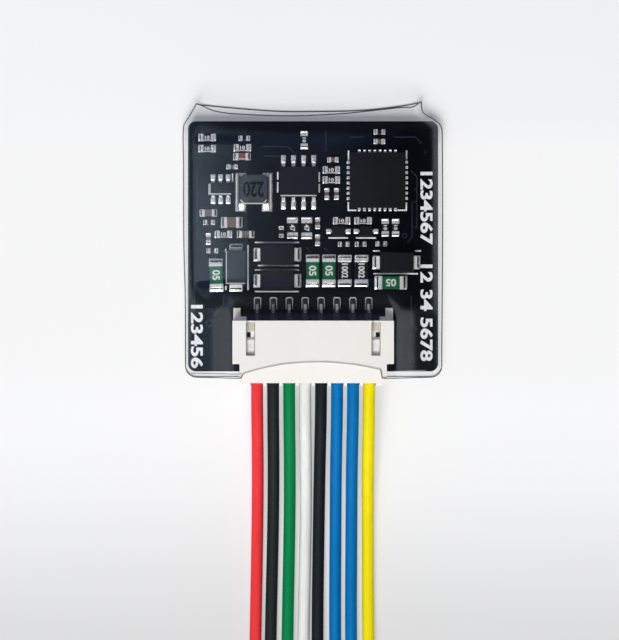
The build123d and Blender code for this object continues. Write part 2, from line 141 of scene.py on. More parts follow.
def ramp(node, value, *stops):
    """The colour at a value, through (position, colour) stops."""
    made = node("ShaderNodeValToRGB", Fac=value)
    elements = made.color_ramp.elements
    for end in (0, -1):
        elements[end].position = stops[end][0]
        elements[end].color = (*stops[end][1], 1)
    for position, colour in stops[1:-1]:
        elements.new(position).color = (*colour, 1)
    return made.outputs["Color"]


def spread(node, value, start, end, at_start=0, at_end=1, how="SMOOTHSTEP"):
    """A change from one number to another, while a value goes from start to end."""
    made = node("ShaderNodeMapRange", interpolation_type=how, Value=value,
                **{"From Min": start, "From Max": end, "To Min": at_start, "To Max": at_end})
    return made.outputs["Result"]


def between(node, share, low, high):
    """A number between two others, by a share from 0 to 1."""
    return spread(node, share, 0, 1, low, high, "LINEAR")


def reckon(node, operation, *values):
    return node("ShaderNodeMath", *values, operation=operation).outputs["Value"]


def mixed(node, factor, first, second, how="MIX"):
    """A mix of two colours."""
    made = node("ShaderNodeMix", data_type="RGBA", blend_type=how, Factor=factor, A=first, B=second)
    return made.outputs["Result"]


def by_facing_up(node, upper, side):
    """One colour where the surface faces up or down, and another where it faces sideways."""
    normal = node("ShaderNodeNewGeometry").outputs["Normal"]
    steep = reckon(node, "ABSOLUTE", node("ShaderNodeSeparateXYZ", normal).outputs["Z"])
    return mixed(node, reckon(node, "GREATER_THAN", steep, 0.5), side, upper)


def dress_shader(node, shader, colour, rough, specular=0.5, metallic=0, alpha=1,
                 relief=None, depth=0, strength=1):
    """Sets the shader. relief is a height from 0 to 1, and depth is how high it stands."""
    set_node(shader, **{"Base Color": colour, "Roughness": rough, "Specular IOR Level": specular,
                        "Metallic": metallic, "Alpha": alpha})
    if relief is not None:
        bump = node("ShaderNodeBump", Strength=strength, Distance=depth * MM, Height=relief)
        set_node(shader, Normal=bump.outputs["Normal"])


def darker(colour, share):
    return tuple(share * part for part in colour)


def mottled(name, dark, light, size, rough, grain=0.1, grain_depth=0.01, specular=0.5, metallic=0):
    """A finish whose colour and gloss drift between two tones, with a fine grain."""
    material, node, shader, _ = node_material(name)
    drift = place_noise(node, size)
    dress_shader(node, shader, ramp(node, drift, (0.3, dark), (0.7, light)),
                 between(node, drift, rough - 0.06, rough + 0.06), specular, metallic,
                 relief=place_noise(node, grain, 2), depth=grain_depth)
    return material


def make_mask_material():
    """Black solder mask over the copper, with the brown glass-fibre core bare at the board's edge."""
    material, node, shader, _ = node_material("solder_mask")
    drift = place_noise(node, 9, 2)
    tone = ramp(node, drift, (0.3, (0.0005, 0.0008, 0.0016)), (0.75, (0.0012, 0.0018, 0.0034)))
    dress_shader(node, shader, by_facing_up(node, tone, (0.01, 0.008, 0.006)), 0.22, 0.16,
                 relief=place_noise(node, 1.5, 1), depth=0.002, strength=0.4)
    return material


# The share of light that each face of the film throws back, seen straight on and edge on
film_gloss, film_gloss_edge = 0.036, 0.5


def make_film_material():
    """Clear shrink film: see-through, glossier the more it is seen edge on, with faint drawn-out waviness."""
    material, node, shader, output = node_material("clear_film")
    material.node_tree.nodes.remove(shader)
    facing = node("ShaderNodeLayerWeight", Blend=0.5).outputs["Facing"]
    tint = ramp(node, facing, (0, (1, 1, 1)), (0.8, (0.99, 0.992, 0.995)), (1, (0.96, 0.965, 0.97)))
    sheen = ramp(node, facing, (0, (0.7, 0.86, 1)), (0.5, (0.86, 0.93, 1)), (1, (1, 1, 1)))
    waves = place_noise(node, 4.5, 2, drawn=(1, 0.3, 1))
    bump = node("ShaderNodeBump", Strength=0.4, Distance=0.05 * MM, Height=waves)
    clear = node("ShaderNodeBsdfTransparent", Color=tint)
    gloss = node("ShaderNodeBsdfGlossy", Roughness=0.1, Color=sheen, Normal=bump.outputs["Normal"])
    share = between(node, reckon(node, "POWER", facing, 5), film_gloss, film_gloss_edge)
    both = node("ShaderNodeMixShader", share, clear.outputs["BSDF"], gloss.outputs["BSDF"])
    set_node(output, Surface=both.outputs["Shader"])
    return material


def make_film_edge_shade_material():
    """The film's cut lips and creases, which gather the light and look grey: their dark grey is painted
    shade.
    """
    material, node, shader, _ = node_material("film_edge_shade")
    tone = ramp(node, place_noise(node, 2.5), (0.3, (0.015, 0.017, 0.02)), (0.75, (0.05, 0.053, 0.058)))
    dress_shader(node, shader, tone, 0.3, 0.3, alpha=0.85)
    return material


def make_metal(name, colour, rough, lump=0.5, depth=0.02, metallic=1):
    """Tin or solder: its tone and gloss drift a little, over a lumpy skin. A skin made less metallic shows
    its pale colour as diffuse light: partly painted highlight, standing for the metal's reflections.
    """
    material, node, shader, _ = node_material(name)
    drift = place_noise(node, lump)
    dress_shader(node, shader, ramp(node, drift, (0.3, darker(colour, 0.78)), (0.65, colour)),
                 between(node, drift, rough - 0.08, rough + 0.1),
                 metallic=metallic, relief=drift, depth=depth)
    return material


def make_two_tone(name, upper, side, rough, specular=0.5):
    """A ceramic chip: its glazed top has one colour and its sides another."""
    material, node, shader, _ = node_material(name)
    shade = ramp(node, place_noise(node, 0.6), (0.3, (0.8, 0.8, 0.8)), (0.7, (1, 1, 1)))
    colour = mixed(node, 1, by_facing_up(node, upper, side), shade, "MULTIPLY")
    dress_shader(node, shader, colour, rough, specular, relief=place_noise(node, 0.12, 2), depth=0.006)
    return material


def make_insulation(name, colour):
    """Satin lead insulation: faint lengthwise drift of tone and very fine die lines."""
    material, node, shader, _ = node_material(name + "_insulation")
    lines = place_noise(node, 0.4, drawn=(1, 0.08, 1))
    dress_shader(node, shader, ramp(node, lines, (0.25, darker(colour, 0.86)), (0.7, colour)),
                 between(node, lines, 0.45, 0.58), 0.07, relief=lines, depth=0.012, strength=0.5)
    return material


paint = {
    "mask": make_mask_material(),
    "film": make_film_material(),
    "film_edge_shade": make_film_edge_shade_material(),
    "ink": mottled("silkscreen_ink", (0.76, 0.77, 0.78), (0.93, 0.94, 0.95), 0.4, 0.5),
    "solder": make_metal("solder", (0.95, 0.95, 0.95), 0.25, depth=0.03, metallic=0.6),
    "tin": make_metal("tinned_metal", (0.88, 0.875, 0.865), 0.32, 0.3, 0.01, metallic=0.55),
    # Painted shade: tin darkened nearly to black, for the contacts and their solder in the connector's shadow
    "contact_shade": make_metal("contact_tin_painted_dark", (0.07, 0.07, 0.074), 0.35, 0.3, 0.01),
    # Partly painted highlight: pale and only partly metallic, so that the beads show bright in shade
    "bead_solder": make_metal("bead_solder", (0.92, 0.92, 0.93), 0.25, 0.4, metallic=0.35),
    "clip": make_metal("clip_metal", (0.36, 0.35, 0.36), 0.35, 0.3, 0.01, metallic=0.55),
    "chip_end": make_metal("matte_tin", (0.68, 0.68, 0.675), 0.5, 0.25, 0.01, metallic=0.15),
    # Painted highlight: solder painted near white and barely metallic, on the diode tabs and the contacts'
    # rims
    "solder_painted_bright": mottled("solder_painted_bright", (0.72, 0.72, 0.72), (0.95, 0.95, 0.95), 0.25, 0.35,
                             metallic=0.2),
    # Painted highlight: the bright lines along package and clip edges
    "edge": mottled("painted_moulded_edge_highlight", (0.5, 0.51, 0.52), (0.72, 0.73, 0.74), 0.8, 0.5),
    "strand": make_metal("tinned_strands", (0.82, 0.8, 0.77), 0.3, 0.4),
    "ivory": mottled("ivory_nylon", (0.905, 0.873, 0.81), (0.935, 0.902, 0.845), 6, 0.42,
                     grain_depth=0.004, specular=0.3),
    "white": mottled("white_nylon", (0.82, 0.815, 0.79), (0.87, 0.866, 0.845), 5, 0.4, specular=0.3),
    "epoxy": mottled("black_epoxy", (0.0024, 0.0026, 0.004), (0.0045, 0.0048, 0.0072), 1.2, 0.55,
                     grain=0.05, specular=0.14),
    "ferrite": mottled("ferrite", (0.026, 0.03, 0.038), (0.046, 0.052, 0.061), 1, 0.5,
                       grain=0.06, grain_depth=0.02, specular=0.2),
    "resistor": make_two_tone("resistor_glaze", (0.004, 0.004, 0.005), (0.7, 0.7, 0.68), 0.3, 0.25),
    "capacitor": make_two_tone("capacitor_ceramic", (0.15, 0.1, 0.075), (0.19, 0.13, 0.1), 0.45),
    "bead": make_two_tone("bead_ceramic", (0.27, 0.045, 0.035), (0.3, 0.06, 0.05), 0.4),
    "fuse": make_two_tone("fuse_resin", (0.001, 0.13, 0.045), (0.01, 0.2, 0.08), 0.32, 0.25),
    "code": mottled("code_ink", (0.55, 0.56, 0.55), (0.78, 0.79, 0.77), 0.2, 0.5),
    "dark_code": mottled("dark_code_ink", (0.0008, 0.001, 0.0014), (0.0016, 0.0018, 0.0024), 0.3, 0.6,
                         specular=0.05),
    # Painted highlight: pale grey for the film's glint, on its bow lip and on its fold over the board
    "painted_glint": mottled("painted_film_glint", (0.2, 0.21, 0.22), (0.42, 0.43, 0.44), 1.5, 0.4),
    # Painted shade: darker tones of the nylon, for the slots' floors and edges
    "slot_floor": mottled("shaded_nylon", (0.52, 0.5, 0.41), (0.66, 0.63, 0.53), 0.8, 0.5),
    "slot_edge_shade": mottled("slot_edge_shade", (0.2, 0.19, 0.14), (0.34, 0.32, 0.26), 0.6, 0.5),
    "epoxy_pale": mottled("grey_epoxy", (0.02, 0.024, 0.032), (0.032, 0.037, 0.047), 1.2, 0.5, specular=0.2),
    "trace": mottled("covered_trace", (0.012, 0.015, 0.024), (0.018, 0.022, 0.034), 3, 0.3, specular=0.16),
}
lead_colours = {
    "lead_red": (0.82, 0.04, 0.045), "lead_black_left": (0.015, 0.02, 0.02), "lead_green": (0, 0.22, 0.062),
    "lead_white": (0.79, 0.8, 0.76), "lead_black_right": (0.011, 0.013, 0.018),
    "lead_blue_left": (0, 0.165, 0.46), "lead_blue_right": (0, 0.16, 0.45),
    "lead_yellow": (0.87, 0.73, 0.003),
}
for name, colour in lead_colours.items():
    paint[name] = make_insulation(name, colour)

chips = "resistor_0402 resistor_0603 resistor_0805 resistor_1206 capacitor_0402 capacitor_0603 capacitor_0805"
chip_ends = " ".join(chip + "_ends" for chip in (chips + " fuse_1206 bead").split())
fuses = "resettable_fuse_1 resettable_fuse_2 resettable_fuse_3 resettable_fuse_4"

# The paint of each CAD node that stays in sight
node_paint = by_name({
    "mask": "circuit_board", "ivory": "header_shell", "white": "plug_housing", "contact_shade": "header_contacts",
    "tin": "header_solder_tabs crimp_contacts transceiver_leads regulator_leads signal_diode_leads",
    "epoxy": "transceiver_body regulator_body controller_body signal_diodes "
             "power_diode_2 power_diode_3 power_diode_4",
    "solder": "solder_lands controller_leads", "clip": "inductor_leads", "solder_painted_bright": "power_diode_tabs",
    "epoxy_pale": "power_diode_1", "ferrite": "inductor_body", "bead": "bead_body", "fuse": fuses,
    "chip_end": chip_ends,
})
for chip in chips.split():
    node_paint[chip + "_bodies"] = chip.split("_")[0]

# Width of the softened edges of the moulded and cut nodes
softened_edges = by_name({
    0.12: "header_shell", 0.1: "inductor_body", 0.06: "transceiver_body", 0.035: "resistor_0603_ends",
    0.08: "plug_housing power_diode_1 power_diode_2 power_diode_3 power_diode_4",
    0.05: "circuit_board regulator_body inductor_leads capacitor_0603_ends capacitor_0805_ends "
          "fuse_1206_ends bead_ends " + fuses,
    0.04: "controller_body signal_diodes resistor_0805_ends resistor_1206_ends",
})


def soften(node, width):
    """Rounds a CAD node's edges with modifiers only, so its own mesh stays as it is."""
    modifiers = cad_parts[node].modifiers
    modifiers.new("weld", "WELD").merge_threshold = 0.001 * MM
    flat = modifiers.new("flat", "DECIMATE")
    flat.decimate_type = "DISSOLVE"
    flat.angle_limit = radians(1)
    bevel = modifiers.new("bevel", "BEVEL")
    bevel.width = width * MM
    bevel.segments = 2
    bevel.limit_method = "ANGLE"
    bevel.angle_limit = radians(40)
    bevel.harden_normals = True


for node_name, key in node_paint.items():
    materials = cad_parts[node_name].data.materials
    materials.clear()
    materials.append(paint[key])
for node_name, width in softened_edges.items():
    soften(node_name, width)


# Shared ways of making pieces

def add_piece(name, shape, key, body="module", smooth=None):
    """A visible piece, from a curve or from a bmesh, which this uses up. key names its paint."""
    if isinstance(shape, bmesh.types.BMesh):
        mesh = bpy.data.meshes.new(name)
        bmesh.ops.recalc_face_normals(shape, faces=shape.faces)
        shape.to_mesh(mesh)
        shape.free()
        shape = mesh
    thing = new_thing(name, shape)
    shape.materials.append(paint[key])
    if smooth:
        shape.shade_smooth()
        shape.set_sharp_from_angle(angle=radians(smooth))
    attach(thing, body)
    return thing


def tube(name, radius, rounding, lines, kind="POLY", closed=False):
    """A round curve along lines of places."""
    curve = bpy.data.curves.new(name, "CURVE")
    curve.dimensions = "3D"
    curve.bevel_depth = radius * MM
    curve.bevel_resolution = rounding
    curve.use_fill_caps = True
    for line in lines:
        spline = curve.splines.new(kind)
        spline.points.add(len(line) - 1)
        for point, place in zip(spline.points, line):
            point.co = (*place, 1)
        spline.use_cyclic_u = closed
    return curve


def join_rings(bm, a, b):
    """A band of faces between two rings of points."""
    for i in range(len(a)):
        j = (i + 1) % len(a)
        bm.faces.new((a[i], a[j], b[j], b[i]))


sunk = 0.01  # how far below its surface a thin shape starts


def add_prism(bm, outline, surface, rise, sink=sunk):
    """A prism on an outline of (x, y) places, from a little below a surface to a little above it."""
    base = [bm.verts.new(spot(x, y, surface - sink)) for x, y in outline]
    roof = [bm.verts.new(spot(x, y, surface + rise)) for x, y in outline]
    bm.faces.new(base[::-1])
    bm.faces.new(roof)
    join_rings(bm, base, roof)


sharpest_mitre = 0.4  # keeps a mitre from reaching out far at a sharp corner


def add_stroke(bm, points, width, surface, rise, sink=sunk):
    """A prism of even width along (x, y) points, with mitred corners and square ends."""
    left, right = [], []
    for i, (x, y) in enumerate(points):
        before, after = points[max(i - 1, 0)], points[min(i + 1, len(points) - 1)]
        first = Vector((x - before[0], y - before[1]))
        second = Vector((after[0] - x, after[1] - y))
        first = first.normalized() if first.length else second.normalized()
        second = second.normalized() if second.length else first
        middle = (first + second).normalized()
        side = Vector((-middle.y, middle.x)) * (width / 2 / max(middle.dot(first), sharpest_mitre))
        left.append((x + side.x, y + side.y))
        right.append((x - side.x, y - side.y))
    add_prism(bm, left + right[::-1], surface, rise, sink)


def islands(node_name):
    """Boxes (low, high) in board millimetres of a CAD node's separate solids, in a fixed order."""
    bm = bmesh.new()
    bm.from_mesh(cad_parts[node_name].data)
    bmesh.ops.remove_doubles(bm, verts=bm.verts, dist=0.0005 * MM)
    left = set(bm.verts)
    boxes = []
    while left:
        found, edge = set(), [left.pop()]
        while edge:
            vert = edge.pop()
            found.add(vert)
            for joined in vert.link_edges:
                other = joined.other_vert(vert)
                if other in left:
                    left.discard(other)
                    edge.append(other)
        places = [(v.co.x / MM, (v.co.y - board_middle_y) / MM, v.co.z / MM) for v in found]
        boxes.append((tuple(map(min, zip(*places))), tuple(map(max, zip(*places)))))
    bm.free()
    return sorted(boxes)


# Leads: each is one smooth line on the route of its solid, with bare stranded wire at its far end

wire_diameter = 1.5
bundle_diameter = 0.6  # three strands side by side
strip_length = 5
# Places (y, z) along every lead, and each lead's x there
lead_stations = [(-15.3, 4.6), (-20.3, 4.6), (-27.3, 2.3), (-35.3, 0.76), (-51.5, 0.76), (-83, 0.76),
                 (-114.5, 0.76)]
lead_x = {
    "lead_red": [-7, -7, -6.96, -7.04, -7.34, -7.96, -8.76],
    "lead_black_left": [-5, -5, -4.97, -5.05, -5.44, -5.86, -6.32],
    "lead_green": [-3, -3, -2.93, -2.97, -3.3, -3.58, -3.78],
    "lead_white": [-1, -1, -0.92, -0.91, -1.28, -1.4, -1.24],
    "lead_black_right": [1, 1, 0.84, 0.72, 0.5, 0.84, 1.46],
    "lead_blue_left": [3, 3, 2.88, 2.84, 2.76, 3.2, 4.06],
    "lead_blue_right": [5, 5, 4.88, 4.86, 4.76, 5.4, 6.5],
    "lead_yellow": [7, 7, 6.9, 6.93, 6.98, 7.8, 9.02],
}


def make_strands(name, start, end):
    """Seven tinned strands with a slow twist, from the insulation's end."""
    along = (end - start).normalized()
    across = along.orthogonal().normalized()
    up = along.cross(across)
    radius, steps, turns = bundle_diameter / 6, 12, 0.7
    lines = [[] for _ in range(7)]
    for i, line in enumerate(lines):
        ring = 0 if i == 6 else 2 * radius * MM
        for step in range(steps + 1):
            angle = 2 * pi * (i / 6 + turns * step / steps)
            place = start + along * ((end - start).length * step / steps)
            line.append(place + (across * cos(angle) + up * sin(angle)) * ring)
    return tube(name, radius, 2, lines)


def make_lead(name):
    route = [spot(x, y, z) for x, (y, z) in zip(lead_x[name], lead_stations)]
    curve = tube(name + "_insulation", wire_diameter / 2, 8, [route], "NURBS")
    curve.resolution_u = 24
    curve.splines[0].order_u = 3
    curve.splines[0].use_endpoint_u = True
    lead = add_piece(name + "_insulation", curve, name, "plug")
    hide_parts(name)
    tail = (route[-1] - route[-2]).normalized()
    strands = make_strands(name + "_strands", route[-1], route[-1] + tail * strip_length * MM)
    tip = add_piece(name + "_strands", strands, "strand", "plug")
    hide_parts("lead_tips")


for name in lead_x:
    make_lead(name)


# Sleeve: one continuous sheet of clear film, drawn over the parts and the connector

film_thick = 0.25
crown_parts = 4.74  # the film's height over the parts
crown_shell = shell_top + 0.28  # and over the connector
crease_height = 1.15
film_sag = 0.05  # how much it sinks between the parts
film_dome = 0.4  # how much higher its middle stands than its sides
mouth_drop = 1.35  # how much lower it stands at its mouth
rise_to_shell = (4.4, 9.2)  # the stretch of -y where it rises from the parts to the connector
fall_to_mouth = (13, 18)  # the stretch of y where it falls to its mouth
film_front = -16.5
film_corner = 1.5
film_rows = 72
horn_left = (-14.77, 18.07)
horn_right = (13.74, 18.36)
# The film's left and right edges in plan, as (y, x), from the connector's end to the horns
left_edge = [(-13, -16.16), (-7, -16.18), (0.8, -16.37), (10, -16.4), (15.3, -16.38), (16.3, -15.8),
             (17.5, -15.1), (18.6, -14.5)]
right_edge = [(-13, 16.3), (1.4, 16.4), (14.2, 16.36), (15, 16.29), (15.6, 15.96), (16.2, 15.14),
              (16.8, 14.09), (17.2, 13.78), (18.6, 13.7)]
lower_mouth = [horn_left, (-10.96, 17.7), (-4.55, 17.22), (0.87, 17.2), (6.62, 17.36), (11.75, 17.96),
               horn_right]
upper_mouth = [horn_left, (-13.5, 17.42), (-12.3, 16.94), (-9.8, 16.56), (-2.8, 16.28), (3.4, 16.56),
               (6.62, 16.88), (11.3, 17.42), (12.6, 17.55), horn_right]
bow_left, bow_right = -8.63, 8.4
shell_bow = [(bow_left, -15.93), (-6.25, -15.28), (-4.24, -14.86), (-2.23, -14.62), (1.1, -14.5),
             (3.8, -14.69), (5.8, -14.94), (bow_right, -15.47)]

# The film's outline from its crease up to its crown: share of the half width, share of the rise. It lies flat
# over the tall parts, and falls away near its sides. Beside the connector it hangs like a tent.
slope_right = [(1, 0), (0.997, 0.14), (0.98, 0.4), (0.945, 0.62), (0.89, 0.81), (0.83, 0.905), (0.79, 0.945),
               (0.7, 0.965), (0.535, 0.975), (0.522, 0.976), (0.509, 0.977), (0.49, 0.98), (0.26, 0.995)]
slope_left = [(1, 0), (0.998, 0.2), (0.99, 0.42), (0.972, 0.62), (0.945, 0.755), (0.9, 0.83), (0.84, 0.875),
              (0.77, 0.905), (0.66, 0.935), (0.53, 0.962), (0.517, 0.965), (0.5, 0.97), (0.26, 0.995)]
slope_shell = [(1, 0), (0.997, 0.085), (0.985, 0.162), (0.966, 0.22), (0.88, 0.378), (0.79, 0.546),
               (0.747, 0.644), (0.679, 0.826), (0.632, 0.99), (0.61, 1), (0.52, 1), (0.49, 1), (0.26, 1)]
slope_below = [(0.3, -1), (0.65, -1), (0.95, -1), (0.985, -0.75), (0.998, -0.3)]


def along_line(points, x):
    """The height of a smooth line through (x, y) points, at x."""
    if x <= points[0][0]:
        return points[0][1]
    if x > points[-1][0]:
        return points[-1][1]
    i = next(i for i in range(len(points) - 1) if x <= points[i + 1][0])
    x0, y0 = points[max(i - 1, 0)]
    x1, y1 = points[i]
    x2, y2 = points[i + 1]
    x3, y3 = points[min(i + 2, len(points) - 1)]
    slope1 = (y2 - y0) / (x2 - x0)
    slope2 = (y3 - y1) / (x3 - x1)
    step = x2 - x1
    t = (x - x1) / step
    return ((2 * t ** 3 - 3 * t ** 2 + 1) * y1 + (t ** 3 - 2 * t ** 2 + t) * step * slope1
            + (3 * t ** 2 - 2 * t ** 3) * y2 + (t ** 3 - t ** 2) * step * slope2)


def film_edges(y):
    """The film's left and right edges in plan at y."""
    return along_line(left_edge, y), along_line(right_edge, y)


def film_section(right, left):
    """The film's closed unit outline, as (share of half width, share of rise), with its corners cut twice.
    The rise is below 0 under the crease."""
    points = [(0, -1), *slope_below, *right, (0, 1), *((-x, z) for x, z in reversed(slope_below + left))]
    for _ in range(2):
        pairs = list(zip(points, points[1:] + points[:1]))
        points = [tuple(mix(*ends, share) for ends in zip(a, b)) for a, b in pairs for share in (0.25, 0.75)]
    return points


def film_place(x_share, rise, y):
    """The film's x and z at y, for a point of its unit outline."""
    over_shell = blend(-y, *rise_to_shell)
    near_mouth = blend(y, *fall_to_mouth)
    left, right = film_edges(y)
    x = (left + right) / 2 + (right - left) / 2 * x_share
    crown = mix(crown_parts, crown_shell, over_shell) - mouth_drop * near_mouth
    z = crease_height + rise * (crease_height if rise < 0 else crown - crease_height)
    if rise > 0:
        # The sag fades out towards the crease and the sides, and comes and goes over several millimetres
        slack = (1 - over_shell) * min(rise * 1.6, 1) * min(1, (1 - abs(x_share)) * 5)
        sag = 0.5 + 0.5 * noise.noise(Vector((x / 5.5, y / 7, 3.7)))
        z -= film_sag * slack * sag
        z += film_dome * (1 - over_shell) * (1 - near_mouth) * rise * (1 - x_share ** 2)
    return x, z


def mouth_y(x, rise):
    """The film's mouth: its upper side is drawn back behind its lower side."""
    return mix(along_line(lower_mouth, x), along_line(upper_mouth, x), blend(rise, -0.05, 0.12))


def front_y(x, rise):
    """The film's other end: rounded in plan at both corners, and cut back in a bow over the connector."""
    if rise > 0.5 and bow_left < x < bow_right:
        return along_line(shell_bow, x)
    left, right = film_edges(film_front)
    past = max(x - (right - film_corner), left + film_corner - x, 0)
    return film_front + film_corner - sqrt(max(film_corner ** 2 - min(past, film_corner) ** 2, 0))


def film_grid():
    """Places of the film: one column for each point of the outline, from its front end to its mouth."""
    columns = []
    sections = zip(film_section(slope_right, slope_left), film_section(slope_shell, slope_shell))
    for over_parts, over_shell in sections:
        y_high = 17  # and nearer to the mouth's own line at each turn of the loop
        for _ in range(12):
            y_high = mouth_y(film_place(*over_parts, y_high)[0], over_parts[1])
        y_low = front_y(film_place(*over_shell, film_front)[0], over_shell[1])
        column = []
        for row in range(film_rows + 1):
            y = mix(y_low, y_high, row / film_rows)
            share = blend(-y, *rise_to_shell)
            x, z = film_place(*(mix(a, b, share) for a, b in zip(over_parts, over_shell)), y)
            column.append(spot(x, y, z))
        columns.append(column)
    return columns


def make_film(columns):
    bm = bmesh.new()
    verts = [[bm.verts.new(place) for place in column] for column in columns]
    for a, b in zip(verts, verts[1:] + verts[:1]):
        for row in range(film_rows):
            bm.faces.new((a[row], b[row], b[row + 1], a[row + 1]))
    film = add_piece("sleeve_film", bm, "film", smooth=60)
    for edge in film.data.edges:
        if {index % (film_rows + 1) for index in edge.vertices} in ({0}, {film_rows}):
            edge.use_edge_sharp = True
    walls = film.modifiers.new("walls", "SOLIDIFY")
    walls.thickness = film_thick * MM
    walls.offset = -1
    walls.use_even_offset = True
    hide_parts("clear_sleeve")


def add_lip(name, lines, radius, key="film_edge_shade", closed=False):
    """A thin lip along lines of the film."""
    add_piece(name, tube(name, radius, 3, lines, closed=closed), key)


bow_step = 0.3  # the bow's edge lies more than this behind the film's front end
crease_row = 20  # of the film's rows, the one where its outermost columns are found


def make_lips(columns):
    """The cut lips round both openings, the thin one over the connector, and the creases down the sides.
    Their dark grey is painted shade, and the thin one's pale grey is a painted highlight.
    """
    inset = Vector((0, 0, film_thick / 2 * MM))
    lift = [1 if column[0].z < crease_height * MM else -1 for column in columns]
    mouth, front = ([column[end] + inset * side for column, side in zip(columns, lift)] for end in (-1, 0))
    add_lip("sleeve_mouth_lip", [mouth], 0.07, closed=True)
    past_step = spot(0, film_front + bow_step, 0).y
    over_shell = [i for i, place in enumerate(front) if place.z > shell_top * MM and place.y > past_step]
    first = next(i for i in over_shell if i - 1 not in over_shell)
    ring = front[first:] + front[:first]
    bow = len(over_shell)
    add_lip("sleeve_bow_lip", [ring[:bow]], 0.035, "painted_glint")
    add_lip("sleeve_front_lip", [ring[bow - 1:] + ring[:1]], 0.055)
    outermost = [choose(columns, key=lambda column: column[crease_row].x) for choose in (max, min)]
    add_lip("sleeve_creases", outermost, 0.08)


# The folds of the film just inside its front end, as (x, x, y): a painted dark shade over the floor, and a
# painted pale highlight over the board
dark_fold_shade = (-15.4, -8.9, -15.98)
pale_fold_highlight = (9.9, 14.3, -15.62)


def fold_line(columns, x_from, x_to, y):
    """A line across the film's upper side at y, between two places in x."""
    line = []
    wanted = spot(0, y, 0).y
    for column in columns:
        for before, after in zip(column, column[1:]):
            if before.y <= wanted < after.y:
                place = before.lerp(after, (wanted - before.y) / (after.y - before.y))
                if place.z > crease_height * MM and x_from * MM < place.x < x_to * MM:
                    line.append(place - Vector((0, 0, film_thick / 2 * MM)))
    return sorted(line, key=lambda place: place.x)


film_columns = film_grid()
make_film(film_columns)
make_lips(film_columns)
add_lip("sleeve_fold_left_shade", [fold_line(film_columns, *dark_fold_shade)], 0.04)
add_lip("sleeve_fold_right_highlight", [fold_line(film_columns, *pale_fold_highlight)], 0.05, "painted_glint")


# Silkscreen: white lines beside the packages, and plain numbers

ink_lift = 0.02
ink_width = 0.18
number_boldness = 0.03
silkscreen = [
    # Regulator
    [(-13.11, 7.87), (-13.11, 6.6), (-10.33, 6.6)], [(-10.18, 9.19), (-10.18, 8.12)],
    # Transceiver
    [(-4.47, 9.38), (-4.47, 8.4)], [(-4.47, 8.1), (-4.47, 6.79)], [(-4.09, 6.44), (0.34, 6.44)],
    [(0.78, 9.38), (0.78, 8.12)], [(0.78, 7.87), (0.78, 6.79)],
    # Microcontroller
    [(4.47, 12.08), (4.47, 10.9)], [(11.79, 12.08), (11.79, 10.96)],
    [(4.44, 5.59), (4.44, 4.54), (5.46, 4.54)], [(10.63, 4.55), (11.77, 4.55), (11.77, 5.53)],
    # Signal diodes
    [(1.95, 1.05), (4.41, 1.05)], [(5.42, 1.05), (7.94, 1.05)],
    # Power diodes, from the left
    [(-8.22, 0.16), (-8.22, -5.52)], [(-11.02, -0.34), (-11.02, -0.72)], [(-11.02, -5.01), (-11.02, -5.52)],
    [(-7.34, 0.48), (-1.78, 0.48)], [(-6.96, -2.43), (-1.78, -2.43)], [(-7.34, -2.99), (-1.78, -2.99)],
    [(-7.34, -5.71), (-1.78, -5.71)],
    [(7.56, -0.59), (8.45, -0.59)], [(12.87, -0.59), (13.62, -0.59)], [(7.63, -3.47), (13.24, -3.47)],
]
# Digits, their middle, their length and their height. They run down the board.
board_numbers = [("1234567", (14.32, 4.8), 9.2, 1.6), ("12 34 5678", (14.32, -8.4), 12.2, 1.6),
                 ("123456", (-14.66, -11.4), 8, 1.55)]


def add_number(bm, body, centre, length, height, turn, surface, rise):
    """Plain digits as a thin solid. length is along the line of digits, and turn is in degrees."""
    text = bpy.data.curves.new("number", "FONT")
    text.body = body
    text.offset = number_boldness
    text.resolution_u = 4
    drawn = new_thing("number", text)
    bpy.context.view_layer.update()
    flat = bpy.data.meshes.new_from_object(drawn)
    lows, highs = ([pick(vert.co[i] for vert in flat.vertices) for i in (0, 1)] for pick in (min, max))
    cosine, sine = cos(radians(turn)), sin(radians(turn))
    places = []
    for vert in flat.vertices:
        x = ((vert.co.x - lows[0]) / (highs[0] - lows[0]) - 0.5) * length
        y = ((vert.co.y - lows[1]) / (highs[1] - lows[1]) - 0.5) * height
        places.append((centre[0] + x * cosine - y * sine, centre[1] + x * sine + y * cosine))
    roof, base = ([bm.verts.new(spot(x, y, z)) for x, y in places] for z in (surface + rise, surface - sunk))
    use = set()
    for face in flat.polygons:
        corners = list(face.vertices)
        bm.faces.new([roof[i] for i in corners])
        bm.faces.new([base[i] for i in reversed(corners)])
        use.update(zip(corners, corners[1:] + corners[:1]))
    for a, b in sorted(use):
        if (b, a) not in use:
            bm.faces.new((roof[a], base[a], base[b], roof[b]))
    bpy.data.objects.remove(drawn)
    bpy.data.curves.remove(text)
    bpy.data.meshes.remove(flat)


def make_ink():
    lines, numbers = bmesh.new(), bmesh.new()
    for line in silkscreen:
        add_stroke(lines, line, ink_width, top, ink_lift)
    for digits, middle, length, height in board_numbers:
        add_number(numbers, digits, middle, length, height, -90, top, ink_lift)
    add_piece("board_ink_lines", lines, "ink")
    add_piece("board_numbers", numbers, "ink")


make_ink()


# Codes on the packages: plain digits, white on the chips and dark on the inductor

# The nodes that carry a code, its digits, its length and height, and its turn on a chip that lies along X
chip_codes = [
    *((fuse, "05", 1.3, 0.95, 0) for fuse in fuses.split()[:3]), ("resettable_fuse_4", "05", 1.3, 0.95, 180),
    ("resistor_1206_bodies", "1002", 1.85, 0.8, 0), ("resistor_0805_bodies", "47", 0.85, 0.65, -90),
    ("resistor_0603_bodies", "10", 0.62, 0.45, 0),
]
code_lift = 0.015


def middle_of(low, high):
    return (low[0] + high[0]) / 2, (low[1] + high[1]) / 2


